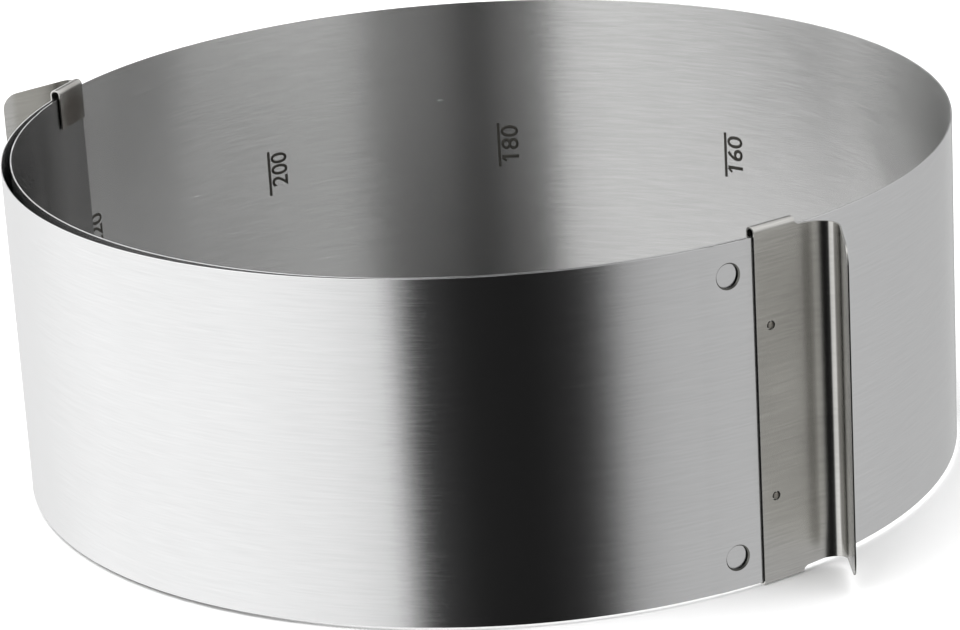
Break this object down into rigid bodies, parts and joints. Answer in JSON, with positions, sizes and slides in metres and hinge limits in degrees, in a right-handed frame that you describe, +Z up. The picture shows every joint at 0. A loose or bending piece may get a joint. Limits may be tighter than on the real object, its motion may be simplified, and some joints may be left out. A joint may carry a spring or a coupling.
{
  "type": "adjustable cake ring",
  "caption": "Adjustable cake ring: a coiled strip of brushed spring steel whose hooked end clips slide along it to set the diameter.",
  "frame": {"origin": "on the surface that the ring stands on, below the middle of its bounding box", "axes": "+Z up along the ring's axis; -Y faces the viewer of the picture, with the outer clip in front to the right and the inner clip at the left"},
  "size_m": [0.2266, 0.2214, 0.0817],
  "materials": {
    "band": "fine brushed lines along the strip",
    "clip": "satin sheet with bright bends",
    "weld": "dull spot weld"
  },
  "bodies": {
    "band_01": {"band_01": "band", "clip_inner_end": "clip", "weld_inner_lower": "weld", "weld_inner_upper": "weld"},
    "band_02": {"band_02": "band"},
    "band_03": {"band_03": "band"},
    "band_04": {"band_04": "band"},
    "band_05": {"band_05": "band"},
    "band_06": {"band_06": "band"},
    "band_07": {"band_07": "band"},
    "band_08": {"band_08": "band"},
    "band_09": {"band_09": "band"},
    "band_10": {"band_10": "band"},
    "band_11": {"band_11": "band"},
    "band_12": {"band_12": "band"},
    "band_13": {"band_13": "band"},
    "band_14": {"band_14": "band"},
    "band_15": {"band_15": "band"},
    "band_16": {"band_16": "band"},
    "band_17": {"band_17": "band"},
    "band_18": {"band_18": "band"},
    "band_19": {"band_19": "band"},
    "band_20": {"band_20": "band"},
    "band_21": {"band_21": "band"},
    "band_22": {"band_22": "band"},
    "band_23": {"band_23": "band"},
    "band_24": {"band_24": "band"},
    "band_25": {"band_25": "band"},
    "band_26": {"band_26": "band"},
    "band_27": {"band_27": "band"},
    "band_28": {"band_28": "band"},
    "band_29": {"band_29": "band"},
    "band_30": {"band_30": "band"},
    "band_31": {"band_31": "band"},
    "band_32": {"band_32": "band"},
    "band_33": {"band_33": "band"},
    "band_34": {"band_34": "band"},
    "band_35": {"band_35": "band"},
    "band_36": {"band_36": "band"},
    "band_37": {"band_37": "band"},
    "band_38": {"band_38": "band"},
    "band_39": {"band_39": "band"},
    "band_40": {"band_40": "band"},
    "band_41": {"band_41": "band"},
    "band_42": {"band_42": "band"},
    "band_43": {"band_43": "band"},
    "band_44": {"band_44": "band"},
    "band_45": {"band_45": "band"},
    "band_46": {"band_46": "band"},
    "band_47": {"band_47": "band"},
    "band_48": {"band_48": "band"},
    "band_49": {"band_49": "band"},
    "band_50": {"band_50": "band", "clip_outer_end": "clip", "weld_outer_lower": "weld", "weld_outer_upper": "weld"}
  },
  "joints": [
    {"name": "ring_size", "type": "hinge", "parent": "band_26", "child": "band_27", "pos_m": [0.0574, 0.09612, 0.0402], "axis": [0, 0, -1], "range_deg": [-4.85, 3.51]},
    {"name": "bend_28", "type": "hinge", "parent": "band_27", "child": "band_28", "pos_m": [0.03962, 0.10425, 0.0402], "axis": [0, 0, -1], "range_deg": [-4.15, 3.01]},
    {"name": "bend_29", "type": "hinge", "parent": "band_28", "child": "band_29", "pos_m": [0.02068, 0.10912, 0.0402], "axis": [0, 0, -1], "range_deg": [-3.5, 2.54]},
    {"name": "bend_30", "type": "hinge", "parent": "band_29", "child": "band_30", "pos_m": [0.00119, 0.11057, 0.0402], "axis": [0, 0, -1], "range_deg": [-3.63, 2.63]},
    {"name": "bend_31", "type": "hinge", "parent": "band_30", "child": "band_31", "pos_m": [-0.01826, 0.10856, 0.0402], "axis": [0, 0, -1], "range_deg": [-4.08, 2.96]},
    {"name": "bend_32", "type": "hinge", "parent": "band_31", "child": "band_32", "pos_m": [-0.03704, 0.10316, 0.0402], "axis": [0, 0, -1], "range_deg": [-4.07, 2.95]},
    {"name": "bend_33", "type": "hinge", "parent": "band_32", "child": "band_33", "pos_m": [-0.05458, 0.09452, 0.0402], "axis": [0, 0, -1], "range_deg": [-3.19, 2.31]},
    {"name": "bend_34", "type": "hinge", "parent": "band_33", "child": "band_34", "pos_m": [-0.07032, 0.08293, 0.0402], "axis": [0, 0, -1], "range_deg": [-2.23, 1.62]},
    {"name": "bend_35", "type": "hinge", "parent": "band_34", "child": "band_35", "pos_m": [-0.08378, 0.06875, 0.0402], "axis": [0, 0, -1], "range_deg": [-2.31, 1.68]},
    {"name": "bend_36", "type": "hinge", "parent": "band_35", "child": "band_36", "pos_m": [-0.09451, 0.05241, 0.0402], "axis": [0, 0, -1], "range_deg": [-3.5, 2.53]},
    {"name": "bend_37", "type": "hinge", "parent": "band_36", "child": "band_37", "pos_m": [-0.1022, 0.03444, 0.0402], "axis": [0, 0, -1], "range_deg": [-4.63, 3.35]},
    {"name": "bend_38", "type": "hinge", "parent": "band_37", "child": "band_38", "pos_m": [-0.10661, 0.01539, 0.0402], "axis": [0, 0, -1], "range_deg": [-4.58, 3.32]},
    {"name": "bend_39", "type": "hinge", "parent": "band_38", "child": "band_39", "pos_m": [-0.1076, -0.00413, 0.0402], "axis": [0, 0, -1], "range_deg": [-3.95, 2.86]},
    {"name": "bend_40", "type": "hinge", "parent": "band_39", "child": "band_40", "pos_m": [-0.10513, -0.02353, 0.0402], "axis": [0, 0, -1], "range_deg": [-3.55, 2.57]},
    {"name": "bend_41", "type": "hinge", "parent": "band_40", "child": "band_41", "pos_m": [-0.09929, -0.04219, 0.0402], "axis": [0, 0, -1], "range_deg": [-3.53, 2.56]},
    {"name": "bend_42", "type": "hinge", "parent": "band_41", "child": "band_42", "pos_m": [-0.09026, -0.05952, 0.0402], "axis": [0, 0, -1], "range_deg": [-3.58, 2.59]},
    {"name": "bend_43", "type": "hinge", "parent": "band_42", "child": "band_43", "pos_m": [-0.07832, -0.075, 0.0402], "axis": [0, 0, -1], "range_deg": [-3.6, 2.61]},
    {"name": "bend_44", "type": "hinge", "parent": "band_43", "child": "band_44", "pos_m": [-0.06384, -0.08814, 0.0402], "axis": [0, 0, -1], "range_deg": [-3.67, 2.66]},
    {"name": "bend_45", "type": "hinge", "parent": "band_44", "child": "band_45", "pos_m": [-0.04728, -0.09852, 0.0402], "axis": [0, 0, -1], "range_deg": [-3.83, 2.78]},
    {"name": "bend_46", "type": "hinge", "parent": "band_45", "child": "band_46", "pos_m": [-0.02914, -0.10582, 0.0402], "axis": [0, 0, -1], "range_deg": [-3.9, 2.83]},
    {"name": "bend_47", "type": "hinge", "parent": "band_46", "child": "band_47", "pos_m": [-0.01001, -0.10982, 0.0402], "axis": [0, 0, -1], "range_deg": [-3.55, 2.58]},
    {"name": "bend_48", "type": "hinge", "parent": "band_47", "child": "band_48", "pos_m": [0.00953, -0.11039, 0.0402], "axis": [0, 0, -1], "range_deg": [-2.83, 2.05]},
    {"name": "bend_49", "type": "hinge", "parent": "band_48", "child": "band_49", "pos_m": [0.02887, -0.10751, 0.0402], "axis": [0, 0, -1], "range_deg": [-2.68, 1.94]},
    {"name": "bend_50", "type": "hinge", "parent": "band_49", "child": "band_50", "pos_m": [0.0474, -0.10128, 0.0402], "axis": [0, 0, -1], "range_deg": [-4.27, 3.09]},
    {"name": "bend_26", "type": "hinge", "parent": "band_26", "child": "band_25", "pos_m": [0.07346, 0.08497, 0.0402], "axis": [0, 0, 1], "range_deg": [-4.33, 3.14]},
    {"name": "bend_25", "type": "hinge", "parent": "band_25", "child": "band_24", "pos_m": [0.0873, 0.07117, 0.0402], "axis": [0, 0, 1], "range_deg": [-3.04, 2.21]},
    {"name": "bend_24", "type": "hinge", "parent": "band_24", "child": "band_23", "pos_m": [0.0985, 0.05514, 0.0402], "axis": [0, 0, 1], "range_deg": [-2.96, 2.14]},
    {"name": "bend_23", "type": "hinge", "parent": "band_23", "child": "band_22", "pos_m": [0.10668, 0.03739, 0.0402], "axis": [0, 0, 1], "range_deg": [-3.52, 2.55]},
    {"name": "bend_22", "type": "hinge", "parent": "band_22", "child": "band_21", "pos_m": [0.11161, 0.01847, 0.0402], "axis": [0, 0, 1], "range_deg": [-3.73, 2.71]},
    {"name": "bend_21", "type": "hinge", "parent": "band_21", "child": "band_20", "pos_m": [0.11312, -0.00102, 0.0402], "axis": [0, 0, 1], "range_deg": [-3.68, 2.67]},
    {"name": "bend_20", "type": "hinge", "parent": "band_20", "child": "band_19", "pos_m": [0.11116, -0.02047, 0.0402], "axis": [0, 0, 1], "range_deg": [-3.5, 2.53]},
    {"name": "bend_19", "type": "hinge", "parent": "band_19", "child": "band_18", "pos_m": [0.1058, -0.03927, 0.0402], "axis": [0, 0, 1], "range_deg": [-3.45, 2.5]},
    {"name": "bend_18", "type": "hinge", "parent": "band_18", "child": "band_17", "pos_m": [0.0972, -0.05683, 0.0402], "axis": [0, 0, 1], "range_deg": [-3.54, 2.57]},
    {"name": "bend_17", "type": "hinge", "parent": "band_17", "child": "band_16", "pos_m": [0.08564, -0.07259, 0.0402], "axis": [0, 0, 1], "range_deg": [-3.63, 2.63]},
    {"name": "bend_16", "type": "hinge", "parent": "band_16", "child": "band_15", "pos_m": [0.07147, -0.08607, 0.0402], "axis": [0, 0, 1], "range_deg": [-3.66, 2.65]},
    {"name": "bend_15", "type": "hinge", "parent": "band_15", "child": "band_14", "pos_m": [0.05514, -0.09681, 0.0402], "axis": [0, 0, 1], "range_deg": [-3.75, 2.72]},
    {"name": "bend_14", "type": "hinge", "parent": "band_14", "child": "band_13", "pos_m": [0.03716, -0.10448, 0.0402], "axis": [0, 0, 1], "range_deg": [-3.88, 2.81]},
    {"name": "bend_13", "type": "hinge", "parent": "band_13", "child": "band_12", "pos_m": [0.01811, -0.10886, 0.0402], "axis": [0, 0, 1], "range_deg": [-4.02, 2.91]},
    {"name": "bend_12", "type": "hinge", "parent": "band_12", "child": "band_11", "pos_m": [-0.00142, -0.10979, 0.0402], "axis": [0, 0, 1], "range_deg": [-4.29, 3.11]},
    {"name": "bend_11", "type": "hinge", "parent": "band_11", "child": "band_10", "pos_m": [-0.02078, -0.10713, 0.0402], "axis": [0, 0, 1], "range_deg": [-4.49, 3.26]},
    {"name": "bend_10", "type": "hinge", "parent": "band_10", "child": "band_09", "pos_m": [-0.03929, -0.10085, 0.0402], "axis": [0, 0, 1], "range_deg": [-4.58, 3.32]},
    {"name": "bend_09", "type": "hinge", "parent": "band_09", "child": "band_08", "pos_m": [-0.05633, -0.09126, 0.0402], "axis": [0, 0, 1], "range_deg": [-3.96, 2.87]},
    {"name": "bend_08", "type": "hinge", "parent": "band_08", "child": "band_07", "pos_m": [-0.07137, -0.07878, 0.0402], "axis": [0, 0, 1], "range_deg": [-2.97, 2.15]},
    {"name": "bend_07", "type": "hinge", "parent": "band_07", "child": "band_06", "pos_m": [-0.08404, -0.06389, 0.0402], "axis": [0, 0, 1], "range_deg": [-2.38, 1.73]},
    {"name": "bend_06", "type": "hinge", "parent": "band_06", "child": "band_05", "pos_m": [-0.09404, -0.04708, 0.0402], "axis": [0, 0, 1], "range_deg": [-2.44, 1.77]},
    {"name": "bend_05", "type": "hinge", "parent": "band_05", "child": "band_04", "pos_m": [-0.1011, -0.02885, 0.0402], "axis": [0, 0, 1], "range_deg": [-2.99, 2.17]},
    {"name": "bend_04", "type": "hinge", "parent": "band_04", "child": "band_03", "pos_m": [-0.10497, -0.00969, 0.0402], "axis": [0, 0, 1], "range_deg": [-3.95, 2.87]},
    {"name": "bend_03", "type": "hinge", "parent": "band_03", "child": "band_02", "pos_m": [-0.10545, 0.00986, 0.0402], "axis": [0, 0, 1], "range_deg": [-5.25, 3.81]},
    {"name": "bend_02", "type": "hinge", "parent": "band_02", "child": "band_01", "pos_m": [-0.10238, 0.02916, 0.0402], "axis": [0, 0, 1], "range_deg": [-6.45, 4.68]}
  ],
  "couplings": [
    {"joint": "bend_28", "follows": "ring_size", "ratio": 0.8539},
    {"joint": "bend_29", "follows": "ring_size", "ratio": 0.7195},
    {"joint": "bend_30", "follows": "ring_size", "ratio": 0.7458},
    {"joint": "bend_31", "follows": "ring_size", "ratio": 0.8397},
    {"joint": "bend_32", "follows": "ring_size", "ratio": 0.8362},
    {"joint": "bend_33", "follows": "ring_size", "ratio": 0.6566},
    {"joint": "bend_34", "follows": "ring_size", "ratio": 0.4587},
    {"joint": "bend_35", "follows": "ring_size", "ratio": 0.476},
    {"joint": "bend_36", "follows": "ring_size", "ratio": 0.7192},
    {"joint": "bend_37", "follows": "ring_size", "ratio": 0.9517},
    {"joint": "bend_38", "follows": "ring_size", "ratio": 0.9424},
    {"joint": "bend_39", "follows": "ring_size", "ratio": 0.8122},
    {"joint": "bend_40", "follows": "ring_size", "ratio": 0.7299},
    {"joint": "bend_41", "follows": "ring_size", "ratio": 0.7258},
    {"joint": "bend_42", "follows": "ring_size", "ratio": 0.7361},
    {"joint": "bend_43", "follows": "ring_size", "ratio": 0.7404},
    {"joint": "bend_44", "follows": "ring_size", "ratio": 0.7559},
    {"joint": "bend_45", "follows": "ring_size", "ratio": 0.7884},
    {"joint": "bend_46", "follows": "ring_size", "ratio": 0.8029},
    {"joint": "bend_47", "follows": "ring_size", "ratio": 0.7311},
    {"joint": "bend_48", "follows": "ring_size", "ratio": 0.5811},
    {"joint": "bend_49", "follows": "ring_size", "ratio": 0.5516},
    {"joint": "bend_50", "follows": "ring_size", "ratio": 0.8779},
    {"joint": "bend_26", "follows": "ring_size", "ratio": 0.8903},
    {"joint": "bend_25", "follows": "ring_size", "ratio": 0.6259},
    {"joint": "bend_24", "follows": "ring_size", "ratio": 0.6077},
    {"joint": "bend_23", "follows": "ring_size", "ratio": 0.723},
    {"joint": "bend_22", "follows": "ring_size", "ratio": 0.7682},
    {"joint": "bend_21", "follows": "ring_size", "ratio": 0.7569},
    {"joint": "bend_20", "follows": "ring_size", "ratio": 0.719},
    {"joint": "bend_19", "follows": "ring_size", "ratio": 0.709},
    {"joint": "bend_18", "follows": "ring_size", "ratio": 0.7289},
    {"joint": "bend_17", "follows": "ring_size", "ratio": 0.7471},
    {"joint": "bend_16", "follows": "ring_size", "ratio": 0.7521},
    {"joint": "bend_15", "follows": "ring_size", "ratio": 0.7717},
    {"joint": "bend_14", "follows": "ring_size", "ratio": 0.7981},
    {"joint": "bend_13", "follows": "ring_size", "ratio": 0.8269},
    {"joint": "bend_12", "follows": "ring_size", "ratio": 0.883},
    {"joint": "bend_11", "follows": "ring_size", "ratio": 0.9245},
    {"joint": "bend_10", "follows": "ring_size", "ratio": 0.9431},
    {"joint": "bend_09", "follows": "ring_size", "ratio": 0.8141},
    {"joint": "bend_08", "follows": "ring_size", "ratio": 0.6105},
    {"joint": "bend_07", "follows": "ring_size", "ratio": 0.4899},
    {"joint": "bend_06", "follows": "ring_size", "ratio": 0.5014},
    {"joint": "bend_05", "follows": "ring_size", "ratio": 0.6147},
    {"joint": "bend_04", "follows": "ring_size", "ratio": 0.8134},
    {"joint": "bend_03", "follows": "ring_size", "ratio": 1.0803},
    {"joint": "bend_02", "follows": "ring_size", "ratio": 1.3276}
  ]
}
